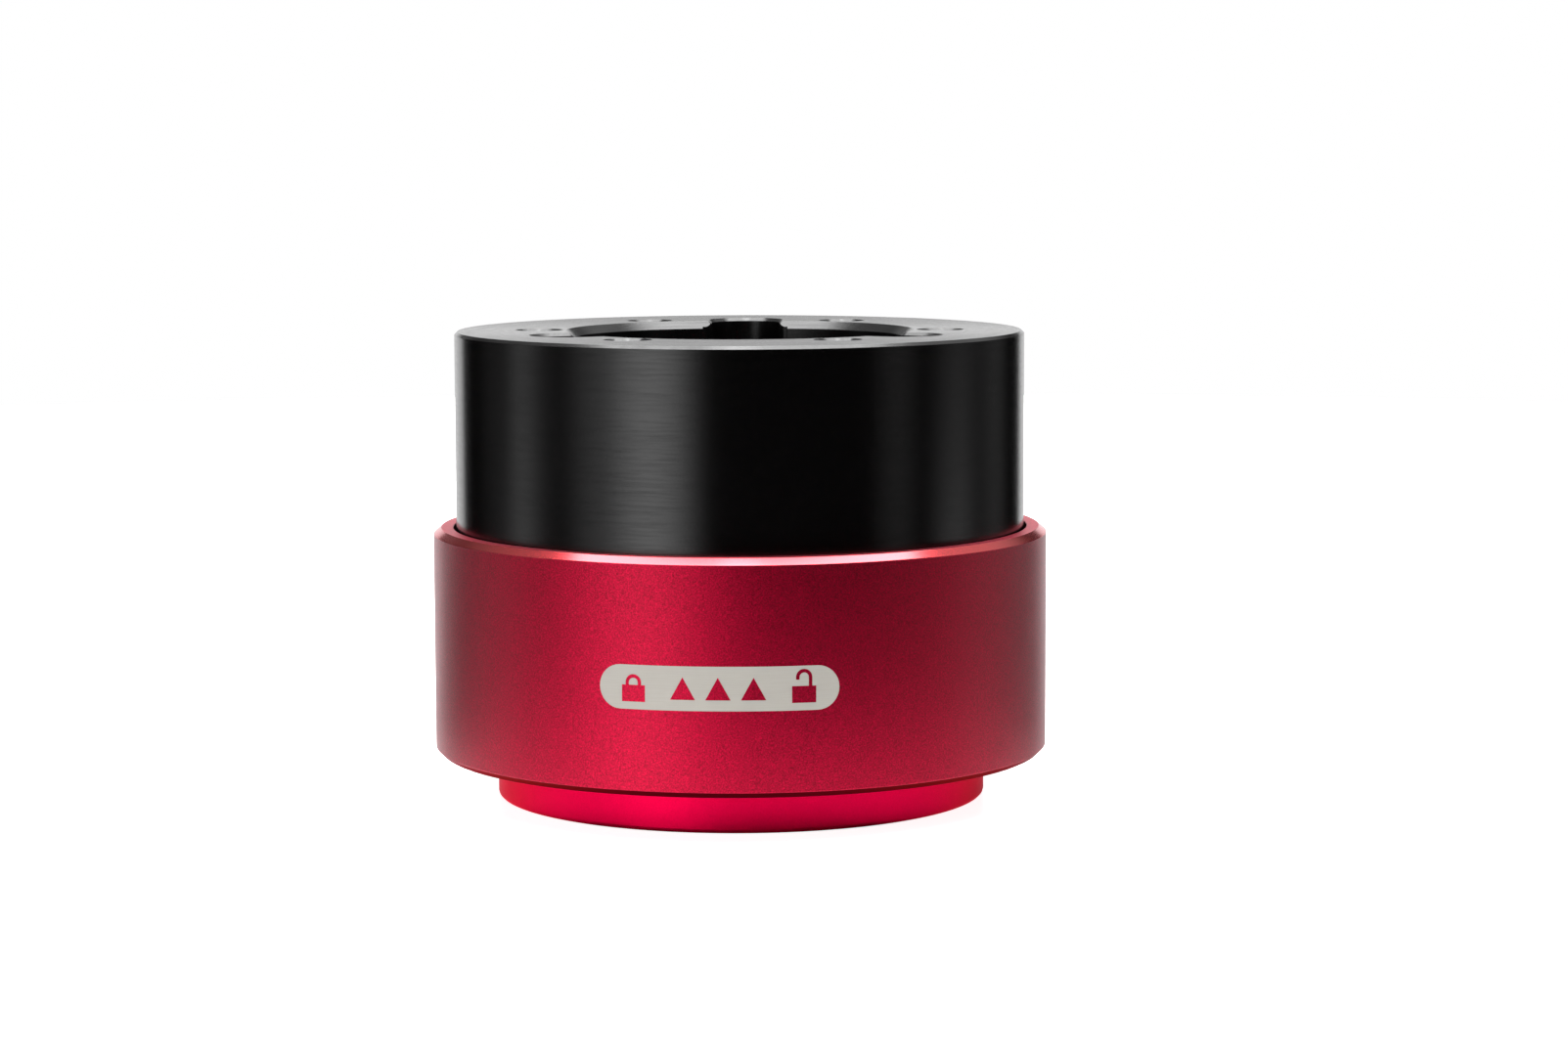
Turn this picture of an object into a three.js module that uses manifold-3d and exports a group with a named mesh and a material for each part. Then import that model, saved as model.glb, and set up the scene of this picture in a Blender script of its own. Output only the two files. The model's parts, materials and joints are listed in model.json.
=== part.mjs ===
// Wheel-side half of a ball-lock quick release: a turned body that a steering wheel bolts to, a socketed
// sleeve under it, and a sprung collar round both that holds the lock balls in.
// Millimetres, +Z up. The origin is the centre of the sleeve's bottom face; the wheel bolts on at the top.

import * as THREE from "three";
import { mergeVertices } from "three/addons/utils/BufferGeometryUtils.js";
import Module from "manifold-3d";

const wasm = await Module();
wasm.setup();

// Shared sizes
const HEIGHT = 58.9;
const GAP = 0.3; // between pieces that meet
const PIN_GAP = 0.15; // round a pin in its hole
const BORE_R = 21; // central bore, through sleeve and body
const RING_SEGMENTS = 48;
const PIN_SEGMENTS = 12;
const PIN_EDGE = 0.3; // chamfer of the pins' ends
const OVERRUN = 1; // how far a cutter runs past the face that it opens

// Black body
const BODY_R = 36;
const BODY_BOTTOM_Z = 27.8;
const BODY_EDGE = 0.4; // chamfer of the outer edges
const BORE_EDGE = 1; // chamfer of the bore at the top

// Wheel bolt circle: six M5 threads on a 50.8 mm circle
const BOLT_COUNT = 6;
const BOLT_CIRCLE_R = 25.4;
const BOLT_R = 2.25;
const BOLT_DEPTH = 14;
const BOLT_SINK_R = 3;

// Three pockets in the top face, open to the bore, each over a body screw
const SCREW_ANGLES = [90, 210, 330];
const SCREW_CIRCLE_R = 23.4;
const POCKET_CENTRE_R = 23.9;
const POCKET_R = 4.5;
const POCKET_DEPTH = 11;
const POCKET_MOUTH_FILLET = 1.1;

// Inner sleeve and its foot
const FOOT_R = 31;
const FOOT_TOP_Z = 5.4;
const FOOT_EDGE = 0.4;
const SLEEVE_R = 29;
const SPIGOT_R = 26;
const SPIGOT_TOP_Z = 36.5;
const SHOULDER_Z = BODY_BOTTOM_Z - GAP;

// Lock balls: 3/8 inch, in radial holes of the sleeve
const BALL_COUNT = 9;
const BALL_R = 4.7625;
const BALL_Z = 17.5;
const BALL_CENTRE_R = 24.5;
const BALL_TRAVEL = 1.5;
const BALL_GAP = 0.2;
const BALL_SEGMENTS = [12, 8];
const BALL_SEAT_R = 21.7; // the hole narrows inside this radius, so the ball can't fall into the socket
const BALL_SEAT_HOLE_R = 3.9;

// Collar
const COLLAR_R = 38.9;
const COLLAR_BOTTOM_Z = FOOT_TOP_Z + GAP;
const COLLAR_TOP_Z = 34.2;
const COLLAR_TRAVEL = 6.5;
const COLLAR_BORE_R = BODY_R + 0.35;
const COLLAR_LAND_R = SLEEVE_R + 0.25;
const COLLAR_EDGE_IN = 1; // top chamfer, radially
const COLLAR_EDGE_DOWN = 0.8; // top chamfer, axially
const COLLAR_FOOT_EDGE = 0.7; // bottom chamfer
const COLLAR_FLOOR_Z = BODY_BOTTOM_Z - GAP - COLLAR_TRAVEL; // face that the springs push on
const LIP_TOP_Z = 7;
const RAMP_BOTTOM_Z = 10.5;

// Return springs and guide pins, on circles between sleeve and body wall
const SPRING_ANGLES = [30, 150, 270];
const SPRING_CIRCLE_R = 32.4;
const SPRING_COIL_R = 2.05;
const SPRING_WIRE_R = 0.3;
const SPRING_TURNS = 9;
const SPRING_STEPS_PER_TURN = 8;
const SPRING_SECTION_SEGMENTS = 3; // per half circle
const SPRING_HOLE_R = 2.6;
const SPRING_HOLE_TOP_Z = 38;
const GUIDE_CIRCLE_R = 34;
const GUIDE_R = 1.25;
const GUIDE_BOTTOM_Z = 14.5;
const GUIDE_TOP_Z = 39.5;

// Screws and pins between body and sleeve
const SCREW_R = 1.8;
const SCREW_HEAD_R = 3.5;
const SCREW_HEAD_H = 4;
const SCREW_LENGTH = 20;
const SCREW_CLEARANCE_R = 2.25;
const SCREW_KEY = 3; // hexagon socket, across flats
const TORQUE_ANGLES = [30, 150, 270];
const TORQUE_CIRCLE_R = 23.5;
const TORQUE_R = 1.5;
const TORQUE_BOTTOM_Z = 30.2;
const TORQUE_TOP_Z = 43.7;

// Spline ring and its countersunk screws
const SPLINE_BOTTOM_Z = 0.4;
const SPLINE_FLANGE_R = 28.7;
const SPLINE_FLANGE_TOP_Z = 3.3;
const SPLINE_HUB_R = 24.2;
const SPLINE_TOP_Z = 10.5;
const SPLINE_TEETH = 24;
const SPLINE_TIP_R = 21.3;
const SPLINE_ROOT_R = 22.7;
const SPLINE_SCREW_ANGLES = [0, 60, 120, 180, 240, 300];
const SPLINE_SCREW_CIRCLE_R = 26;
const SPLINE_SCREW_R = 0.95;
const SPLINE_SCREW_HEAD_R = 2.2;
const SPLINE_SCREW_TOP_Z = 9;
const SPLINE_SCREW_KEY = 1.5;

// O-ring, 2 mm section
const O_RING_SECTION_R = 1;
const O_RING_CENTRE_R = 21.85;
const O_RING_Z = 25.2;
const O_RING_SEGMENTS = 8; // round the section
const GROOVE_HALF_H = 1.2;
const GROOVE_R = 23.2;

const FINISH = {
  blackAnodised: { color: 0x0b0b0d, roughness: 0.3, metalness: 0.9 },
  blastedRed: { color: 0xa80b22, roughness: 0.55, metalness: 0.8 },
  satinRed: { color: 0xb8062f, roughness: 0.35, metalness: 0.8 },
  steel: { color: 0x8c8d90, roughness: 0.3, metalness: 1 },
  blackSteel: { color: 0x1b1b1d, roughness: 0.4, metalness: 0.9 },
  rubber: { color: 0x101010, roughness: 0.8, metalness: 0 },
};

const group = new THREE.Group();
const ballAngles = evenAngles(BALL_COUNT, 90);

// A body of revolution about Z, from a profile of [radius, z] points listed anticlockwise.
function turned(profile, segments = PIN_SEGMENTS) {
  const points = profile.map(([r, z]) => new THREE.Vector2(r, z));
  const startsOnAxis = profile[0][0] === 0;
  if (!startsOnAxis) points.push(points[0].clone());
  return new THREE.LatheGeometry(points, segments).rotateX(Math.PI / 2);
}

// A plain round bar between two heights.
function bar(radius, bottomZ, topZ) {
  return turned([[0, bottomZ], [radius, bottomZ], [radius, topZ], [0, topZ]]);
}

function pin(radius, bottomZ, topZ) {
  return turned([
    [0, bottomZ],
    [radius - PIN_EDGE, bottomZ],
    [radius, bottomZ + PIN_EDGE],
    [radius, topZ - PIN_EDGE],
    [radius - PIN_EDGE, topZ],
    [0, topZ],
  ]);
}

// A hexagonal bar, for cutting a key socket.
function hexBar(acrossFlats, bottomZ, topZ) {
  const cornerR = acrossFlats / Math.sqrt(3);
  return turned([[0, bottomZ], [cornerR, bottomZ], [cornerR, topZ], [0, topZ]], 6);
}

// The geometry moved out to a radius and turned to an angle about Z.
function placed(geometry, radius, degrees) {
  return geometry.clone().translate(radius, 0, 0).rotateZ(THREE.MathUtils.degToRad(degrees));
}

function evenAngles(count, first = 0) {
  return Array.from({ length: count }, (_, i) => first + (360 * i) / count);
}

function toSolid(geometry) {
  const bare = geometry.clone();
  bare.deleteAttribute("normal");
  bare.deleteAttribute("uv");
  const merged = mergeVertices(bare, 1e-4);
  const mesh = new wasm.Mesh({
    numProp: 3,
    vertProperties: merged.getAttribute("position").array,
    triVerts: Uint32Array.from(merged.index.array),
  });
  return new wasm.Manifold(mesh);
}

function toGeometry(solid) {
  const mesh = solid.getMesh();
  const geometry = new THREE.BufferGeometry();
  geometry.setAttribute("position", new THREE.BufferAttribute(mesh.vertProperties, 3));
  geometry.setIndex(new THREE.BufferAttribute(mesh.triVerts, 1));
  geometry.computeVertexNormals();
  return geometry;
}

// The blank with every cutter taken away.
function cut(blank, cutters) {
  return toGeometry(cutters.reduce((solid, cutter) => solid.subtract(toSolid(cutter)), toSolid(blank)));
}

function add(name, geometry, finish) {
  const mesh = new THREE.Mesh(geometry, new THREE.MeshStandardMaterial(finish));
  mesh.name = name;
  group.add(mesh);
}

// Outline of a screw pocket from above: a round end, parallel sides, and a mouth that flares into the bore.
function pocketShape() {
  const shape = new THREE.Shape();
  const wallX = Math.sqrt(BORE_R ** 2 - POCKET_R ** 2);
  const mouthX = wallX - OVERRUN;
  const mouthY = POCKET_R + POCKET_MOUTH_FILLET;
  const flareX = wallX + POCKET_MOUTH_FILLET;
  shape.moveTo(mouthX, -mouthY);
  shape.quadraticCurveTo(wallX, -POCKET_R, flareX, -POCKET_R);
  shape.lineTo(POCKET_CENTRE_R, -POCKET_R);
  shape.absarc(POCKET_CENTRE_R, 0, POCKET_R, -Math.PI / 2, Math.PI / 2);
  shape.lineTo(flareX, POCKET_R);
  shape.quadraticCurveTo(wallX, POCKET_R, mouthX, mouthY);
  shape.closePath();
  return shape;
}

function pocketCutter() {
  const depth = POCKET_DEPTH + OVERRUN;
  const geometry = new THREE.ExtrudeGeometry(pocketShape(), { depth, bevelEnabled: false, curveSegments: 8 });
  return geometry.translate(0, 0, HEIGHT - POCKET_DEPTH);
}

function boltHoleCutter() {
  const sinkBottomZ = HEIGHT - (BOLT_SINK_R - BOLT_R);
  return turned([
    [0, HEIGHT - BOLT_DEPTH],
    [BOLT_R, HEIGHT - BOLT_DEPTH],
    [BOLT_R, sinkBottomZ],
    [BOLT_SINK_R + OVERRUN, HEIGHT + OVERRUN],
    [0, HEIGHT + OVERRUN],
  ]);
}

function wheelBody() {
  const spigotBoreR = SPIGOT_R + GAP;
  const spigotBoreTopZ = SPIGOT_TOP_Z + GAP;
  const pocketFloorZ = HEIGHT - POCKET_DEPTH;
  const blank = turned(
    [
      [spigotBoreR, BODY_BOTTOM_Z],
      [BODY_R - BODY_EDGE, BODY_BOTTOM_Z],
      [BODY_R, BODY_BOTTOM_Z + BODY_EDGE],
      [BODY_R, HEIGHT - BODY_EDGE],
      [BODY_R - BODY_EDGE, HEIGHT],
      [BORE_R + BORE_EDGE, HEIGHT],
      [BORE_R, HEIGHT - BORE_EDGE],
      [BORE_R, spigotBoreTopZ],
      [spigotBoreR, spigotBoreTopZ],
    ],
    RING_SEGMENTS,
  );
  const screwHole = bar(SCREW_CLEARANCE_R, spigotBoreTopZ - OVERRUN, pocketFloorZ + OVERRUN);
  const springHole = bar(SPRING_HOLE_R, BODY_BOTTOM_Z - OVERRUN, SPRING_HOLE_TOP_Z);
  const guideHole = bar(GUIDE_R + PIN_GAP, BODY_BOTTOM_Z - OVERRUN, GUIDE_TOP_Z + GAP);
  const torqueHole = bar(TORQUE_R + PIN_GAP, spigotBoreTopZ - OVERRUN, TORQUE_TOP_Z + GAP);
  return cut(blank, [
    ...evenAngles(BOLT_COUNT).map((a) => placed(boltHoleCutter(), BOLT_CIRCLE_R, a)),
    ...SCREW_ANGLES.map((a) => placed(pocketCutter(), 0, a)),
    ...SCREW_ANGLES.map((a) => placed(screwHole, SCREW_CIRCLE_R, a)),
    ...SPRING_ANGLES.map((a) => placed(springHole, SPRING_CIRCLE_R, a)),
    ...SCREW_ANGLES.map((a) => placed(guideHole, GUIDE_CIRCLE_R, a)),
    ...TORQUE_ANGLES.map((a) => placed(torqueHole, TORQUE_CIRCLE_R, a)),
  ]);
}

// Radial hole for one ball: its running size outside, and a narrower seat at the socket's wall.
function ballHoleCutter() {
  const holeR = BALL_R + BALL_GAP;
  return turned([
    [0, BORE_R - OVERRUN],
    [BALL_SEAT_HOLE_R, BORE_R - OVERRUN],
    [BALL_SEAT_HOLE_R, BALL_SEAT_R],
    [holeR, BALL_SEAT_R],
    [holeR, SLEEVE_R + OVERRUN],
    [0, SLEEVE_R + OVERRUN],
  ])
    .rotateY(Math.PI / 2)
    .translate(0, 0, BALL_Z);
}

function innerSleeve() {
  const flangeSeatR = SPLINE_FLANGE_R + GAP;
  const flangeSeatZ = SPLINE_FLANGE_TOP_Z + GAP;
  const hubSeatR = SPLINE_HUB_R + GAP;
  const hubSeatZ = SPLINE_TOP_Z + GAP;
  const blank = turned(
    [
      [flangeSeatR, 0],
      [FOOT_R - FOOT_EDGE, 0],
      [FOOT_R, FOOT_EDGE],
      [FOOT_R, FOOT_TOP_Z],
      [SLEEVE_R, FOOT_TOP_Z],
      [SLEEVE_R, SHOULDER_Z],
      [SPIGOT_R, SHOULDER_Z],
      [SPIGOT_R, SPIGOT_TOP_Z],
      [BORE_R, SPIGOT_TOP_Z],
      [BORE_R, O_RING_Z + GROOVE_HALF_H],
      [GROOVE_R, O_RING_Z + GROOVE_HALF_H],
      [GROOVE_R, O_RING_Z - GROOVE_HALF_H],
      [BORE_R, O_RING_Z - GROOVE_HALF_H],
      [BORE_R, hubSeatZ],
      [hubSeatR, hubSeatZ],
      [hubSeatR, flangeSeatZ],
      [flangeSeatR, flangeSeatZ],
    ],
    RING_SEGMENTS,
  );
  const screwTipZ = HEIGHT - POCKET_DEPTH + GAP - SCREW_LENGTH;
  const screwHole = bar(SCREW_R + PIN_GAP, screwTipZ - GAP, SPIGOT_TOP_Z + OVERRUN);
  const torqueHole = bar(TORQUE_R + PIN_GAP, TORQUE_BOTTOM_Z - GAP, SPIGOT_TOP_Z + OVERRUN);
  const splineHole = bar(SPLINE_SCREW_R + PIN_GAP, flangeSeatZ - OVERRUN, SPLINE_SCREW_TOP_Z + GAP);
  return cut(blank, [
    ...ballAngles.map((a) => placed(ballHoleCutter(), 0, a)),
    ...SCREW_ANGLES.map((a) => placed(screwHole, SCREW_CIRCLE_R, a)),
    ...TORQUE_ANGLES.map((a) => placed(torqueHole, TORQUE_CIRCLE_R, a)),
    ...SPLINE_SCREW_ANGLES.map((a) => placed(splineHole, SPLINE_SCREW_CIRCLE_R, a)),
  ]);
}

// The collar's inside, from the bottom: a lip, a relief that frees the balls, a ramp that drives them in,
// a land that runs on the sleeve, and a wide bore that slides over the body.
function lockCollar() {
  const slope = BALL_TRAVEL / COLLAR_TRAVEL;
  const rampAtBallR = BALL_CENTRE_R + (BALL_R + BALL_GAP) * Math.hypot(1, slope);
  const rampTopZ = BALL_Z + (rampAtBallR - COLLAR_LAND_R) / slope;
  const reliefR = rampAtBallR + (BALL_Z - RAMP_BOTTOM_Z) * slope;
  const blank = turned(
    [
      [COLLAR_LAND_R, COLLAR_BOTTOM_Z],
      [COLLAR_R - COLLAR_FOOT_EDGE, COLLAR_BOTTOM_Z],
      [COLLAR_R, COLLAR_BOTTOM_Z + COLLAR_FOOT_EDGE],
      [COLLAR_R, COLLAR_TOP_Z - COLLAR_EDGE_DOWN],
      [COLLAR_R - COLLAR_EDGE_IN, COLLAR_TOP_Z],
      [COLLAR_BORE_R, COLLAR_TOP_Z],
      [COLLAR_BORE_R, COLLAR_FLOOR_Z],
      [COLLAR_LAND_R, COLLAR_FLOOR_Z],
      [COLLAR_LAND_R, rampTopZ],
      [reliefR, RAMP_BOTTOM_Z],
      [reliefR, LIP_TOP_Z],
      [COLLAR_LAND_R, LIP_TOP_Z],
    ],
    RING_SEGMENTS,
  );
  const guideHoleBottomZ = GUIDE_BOTTOM_Z - COLLAR_TRAVEL - GAP;
  const guideHole = bar(GUIDE_R + PIN_GAP, guideHoleBottomZ, COLLAR_FLOOR_Z + OVERRUN);
  return cut(blank, SCREW_ANGLES.map((a) => placed(guideHole, GUIDE_CIRCLE_R, a)));
}

function lockBall() {
  return new THREE.SphereGeometry(BALL_R, ...BALL_SEGMENTS).rotateX(Math.PI / 2).translate(0, 0, BALL_Z);
}

// Centre line of a compression spring that winds up along Z.
class SpringLine extends THREE.Curve {
  constructor(bottomZ, topZ) {
    super();
    this.bottomZ = bottomZ;
    this.topZ = topZ;
  }

  getPoint(t) {
    const angle = 2 * Math.PI * SPRING_TURNS * t;
    const z = THREE.MathUtils.lerp(this.bottomZ, this.topZ, t);
    return new THREE.Vector3(SPRING_COIL_R * Math.cos(angle), SPRING_COIL_R * Math.sin(angle), z);
  }
}

function returnSpring() {
  const endGap = GAP + SPRING_WIRE_R;
  const line = new SpringLine(COLLAR_FLOOR_Z + endGap, SPRING_HOLE_TOP_Z - endGap);
  const section = new THREE.Shape();
  section.absarc(0, 0, SPRING_WIRE_R, 0, 2 * Math.PI);
  return new THREE.ExtrudeGeometry(section, {
    steps: SPRING_STEPS_PER_TURN * SPRING_TURNS,
    curveSegments: SPRING_SECTION_SEGMENTS,
    extrudePath: line,
  });
}

// Socket-head screw standing on the floor of its pocket.
function bodyScrew() {
  const seatZ = HEIGHT - POCKET_DEPTH + GAP;
  const headTopZ = seatZ + SCREW_HEAD_H;
  const blank = turned([
    [0, seatZ - SCREW_LENGTH],
    [SCREW_R, seatZ - SCREW_LENGTH],
    [SCREW_R, seatZ],
    [SCREW_HEAD_R, seatZ],
    [SCREW_HEAD_R, headTopZ],
    [0, headTopZ],
  ]);
  return cut(blank, [hexBar(SCREW_KEY, headTopZ - SCREW_HEAD_H / 2, headTopZ + OVERRUN)]);
}

// Countersunk screw, head down, in the flange of the spline ring.
function splineScrew() {
  const coneTopZ = SPLINE_BOTTOM_Z + SPLINE_SCREW_HEAD_R - SPLINE_SCREW_R;
  const blank = turned([
    [0, SPLINE_BOTTOM_Z],
    [SPLINE_SCREW_HEAD_R, SPLINE_BOTTOM_Z],
    [SPLINE_SCREW_R, coneTopZ],
    [SPLINE_SCREW_R, SPLINE_SCREW_TOP_Z],
    [0, SPLINE_SCREW_TOP_Z],
  ]);
  const keyTopZ = SPLINE_BOTTOM_Z + SPLINE_SCREW_KEY / 2;
  return cut(blank, [hexBar(SPLINE_SCREW_KEY, SPLINE_BOTTOM_Z - OVERRUN, keyTopZ)]);
}

// Star-shaped plug whose outside is the inside of the spline: straight-sided teeth between two radii.
function splinePlug() {
  const shape = new THREE.Shape();
  const pitch = (2 * Math.PI) / SPLINE_TEETH;
  const corners = [
    [SPLINE_TIP_R, -0.2],
    [SPLINE_TIP_R, 0.2],
    [SPLINE_ROOT_R, 0.3],
    [SPLINE_ROOT_R, 0.7],
  ];
  const points = evenAngles(SPLINE_TEETH).flatMap((degrees) =>
    corners.map(([r, share]) => {
      const angle = THREE.MathUtils.degToRad(degrees) + share * pitch;
      return new THREE.Vector2(r * Math.cos(angle), r * Math.sin(angle));
    }),
  );
  shape.setFromPoints(points);
  return new THREE.ExtrudeGeometry(shape, { depth: SPLINE_TOP_Z + 2 * OVERRUN, bevelEnabled: false })
    .translate(0, 0, -OVERRUN);
}

function splineRing() {
  const blank = turned(
    [
      [0, SPLINE_BOTTOM_Z],
      [SPLINE_FLANGE_R, SPLINE_BOTTOM_Z],
      [SPLINE_FLANGE_R, SPLINE_FLANGE_TOP_Z],
      [SPLINE_HUB_R, SPLINE_FLANGE_TOP_Z],
      [SPLINE_HUB_R, SPLINE_TOP_Z],
      [0, SPLINE_TOP_Z],
    ],
    RING_SEGMENTS,
  );
  const headHoleR = SPLINE_SCREW_HEAD_R + PIN_GAP;
  const shankHoleR = SPLINE_SCREW_R + 2 * PIN_GAP;
  const screwHole = turned([
    [0, SPLINE_BOTTOM_Z - OVERRUN],
    [headHoleR + OVERRUN, SPLINE_BOTTOM_Z - OVERRUN],
    [shankHoleR, SPLINE_BOTTOM_Z + headHoleR - shankHoleR],
    [shankHoleR, SPLINE_FLANGE_TOP_Z + OVERRUN],
    [0, SPLINE_FLANGE_TOP_Z + OVERRUN],
  ]);
  return cut(blank, [
    splinePlug(),
    ...SPLINE_SCREW_ANGLES.map((a) => placed(screwHole, SPLINE_SCREW_CIRCLE_R, a)),
  ]);
}

function oRing() {
  const torus = new THREE.TorusGeometry(O_RING_CENTRE_R, O_RING_SECTION_R, O_RING_SEGMENTS, RING_SEGMENTS);
  return torus.translate(0, 0, O_RING_Z);
}

// One copy of a piece at each angle, named with a number.
function addCopies(name, geometry, radius, angles, finish) {
  angles.forEach((degrees, i) => add(`${name}_${i + 1}`, placed(geometry, radius, degrees), finish));
}

const guidePin = pin(GUIDE_R, GUIDE_BOTTOM_Z, GUIDE_TOP_Z);
const torquePin = pin(TORQUE_R, TORQUE_BOTTOM_Z, TORQUE_TOP_Z);

add("wheel_body", wheelBody(), FINISH.blackAnodised);
add("inner_sleeve", innerSleeve(), FINISH.satinRed);
add("lock_collar", lockCollar(), FINISH.blastedRed);
add("spline_ring", splineRing(), FINISH.steel);
add("o_ring", oRing(), FINISH.rubber);
addCopies("lock_ball", lockBall(), BALL_CENTRE_R, ballAngles, FINISH.steel);
addCopies("return_spring", returnSpring(), SPRING_CIRCLE_R, SPRING_ANGLES, FINISH.steel);
addCopies("guide_pin", guidePin, GUIDE_CIRCLE_R, SCREW_ANGLES, FINISH.steel);
addCopies("torque_pin", torquePin, TORQUE_CIRCLE_R, TORQUE_ANGLES, FINISH.steel);
addCopies("body_screw", bodyScrew(), SCREW_CIRCLE_R, SCREW_ANGLES, FINISH.blackSteel);
addCopies("spline_screw", splineScrew(), SPLINE_SCREW_CIRCLE_R, SPLINE_SCREW_ANGLES, FINISH.blackSteel);

export default group;
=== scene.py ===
"""Looks of a wheel-side quick-release hub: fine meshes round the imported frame, with procedural metals.

Meshes are made in millimetres and become metres in finish_mesh. +Z is the turning axis.
"""

import json
import math

import bmesh
import bpy
from mathutils import Matrix, Vector
from mathutils.geometry import delaunay_2d_cdt


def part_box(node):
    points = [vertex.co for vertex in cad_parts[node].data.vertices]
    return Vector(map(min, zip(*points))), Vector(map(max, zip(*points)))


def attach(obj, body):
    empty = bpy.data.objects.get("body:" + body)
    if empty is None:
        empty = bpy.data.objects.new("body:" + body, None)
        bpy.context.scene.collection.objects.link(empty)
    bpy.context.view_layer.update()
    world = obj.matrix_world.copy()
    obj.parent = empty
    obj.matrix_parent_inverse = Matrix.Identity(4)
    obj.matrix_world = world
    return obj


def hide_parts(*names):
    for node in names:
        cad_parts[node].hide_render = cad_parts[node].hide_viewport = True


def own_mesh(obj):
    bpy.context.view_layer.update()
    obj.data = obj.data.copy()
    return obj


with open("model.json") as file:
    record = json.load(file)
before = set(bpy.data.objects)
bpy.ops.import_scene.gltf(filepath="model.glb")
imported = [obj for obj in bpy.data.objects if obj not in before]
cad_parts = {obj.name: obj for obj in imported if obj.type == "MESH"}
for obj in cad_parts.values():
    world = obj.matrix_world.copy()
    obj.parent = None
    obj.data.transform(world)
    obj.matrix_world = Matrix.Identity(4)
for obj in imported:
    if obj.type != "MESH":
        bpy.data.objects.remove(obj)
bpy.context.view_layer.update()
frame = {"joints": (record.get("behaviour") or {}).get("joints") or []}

MM = 0.001


def size_of(node):
    """Outer radius, bottom and top of a turned CAD node, in millimetres."""
    low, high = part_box(node)
    return high.x / MM, low.z / MM, high.z / MM


BODY_R, BODY_BOTTOM, BODY_TOP = size_of("wheel_body")
FOOT_R, FOOT_BOTTOM, SLEEVE_TOP = size_of("inner_sleeve")
COLLAR_R, COLLAR_BOTTOM, COLLAR_TOP = size_of("lock_collar")
SPLINE_R, SPLINE_BOTTOM, SPLINE_TOP = size_of("spline_ring")
BALL_R = (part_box("lock_ball_1")[1].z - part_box("lock_ball_1")[0].z) / MM / 2
BALL_Z = (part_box("lock_ball_1")[1].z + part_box("lock_ball_1")[0].z) / MM / 2
JOINTS = {joint["name"]: joint for joint in frame["joints"]}
COLLAR_TRAVEL = JOINTS["collar_slide"]["range_m"][1] / MM

# Sizes inside the CAD nodes' boxes, in millimetres
GAP = 0.3
PIN_GAP = 0.15
PIN_EDGE = 0.3
BORE_R = 21.0
EDGE = 0.4
BORE_EDGE = 1.0
POCKET_EDGE = 0.4
POCKET_CENTRE_R = 23.9
POCKET_R = 4.5
SCREW_CIRCLE_R = 23.4
POCKET_FLOOR = BODY_TOP - 11.0
MOUTH_FILLET = 1.1
BOLT_CIRCLE_R = 25.4
BOLT_R = 2.1
BOLT_DEPTH = 14.0
SINK_R = 3.0
SPIGOT_R = 26.0
SLEEVE_R = 29.0
FOOT_TOP = COLLAR_BOTTOM - GAP
SHOULDER_Z = BODY_BOTTOM - GAP
SCREW_ANGLES = (90, 210, 330)
PIN_ANGLES = (30, 150, 270)
BOLT_ANGLES = (0, 60, 120, 180, 240, 300)
BALL_ANGLES = tuple(90 + 40 * i for i in range(9))
BALL_CENTRE_R = 24.5
BALL_TRAVEL = 1.5
BALL_GAP = 0.2
BALL_SEAT_R = 21.7
BALL_SEAT_HOLE_R = 3.9
COLLAR_EDGE_IN = 1.0
COLLAR_EDGE_DOWN = 0.8
COLLAR_FOOT_EDGE = 0.7
COLLAR_LAND_R = SLEEVE_R + 0.25
COLLAR_BORE_R = BODY_R + 0.35
COLLAR_FLOOR = SHOULDER_Z - COLLAR_TRAVEL
LIP_TOP = 7.0
RAMP_BOTTOM = 10.5
MARK_W = 29.0
MARK_H = 5.3
MARK_Z = 18.8
MARK_ANGLE = -91.9
SPRING_CIRCLE_R = 32.4
SPRING_COIL_R = 2.05
SPRING_WIRE_R = 0.3
SPRING_TURNS = 9
SPRING_HOLE_R = 2.6
SPRING_TOP = 37.7
GUIDE_CIRCLE_R = 34.0
GUIDE_R = 1.25
GUIDE_BOTTOM = 14.5
GUIDE_TOP = 39.5
TORQUE_CIRCLE_R = 23.5
TORQUE_R = 1.5
TORQUE_BOTTOM = 30.2
TORQUE_TOP = 43.7
SCREW_R = 1.8
SCREW_HEAD_R = 3.5
SCREW_HEAD_H = 4.0
SCREW_TIP = POCKET_FLOOR + GAP - 20.0
SCREW_HOLE_R = 2.25
SCREW_KEY = 3.0
SPLINE_HUB_R = 24.2
FLANGE_TOP = 3.3
SPLINE_TEETH = 24
SPLINE_TIP_R = 21.3
SPLINE_ROOT_R = 22.7
SPLINE_SCREW_CIRCLE_R = 26.0
SPLINE_SCREW_R = 0.95
SPLINE_SCREW_HEAD_R = 2.2
SPLINE_SCREW_TOP = 9.0
SPLINE_SCREW_KEY = 1.5
O_RING_SECTION_R = 1.0
O_RING_CENTRE_R = 21.85
O_RING_Z = 25.2
GROOVE_R = 23.2
GROOVE_HALF_H = 1.2

# The mark on the collar, in millimetres
PADLOCK_X = 10.2
PADLOCK_LIFT = 0.75
ARROW_STEP = 4.2
ARROW_HALF_W = 1.5
ARROW_HALF_H = 1.35

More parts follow.
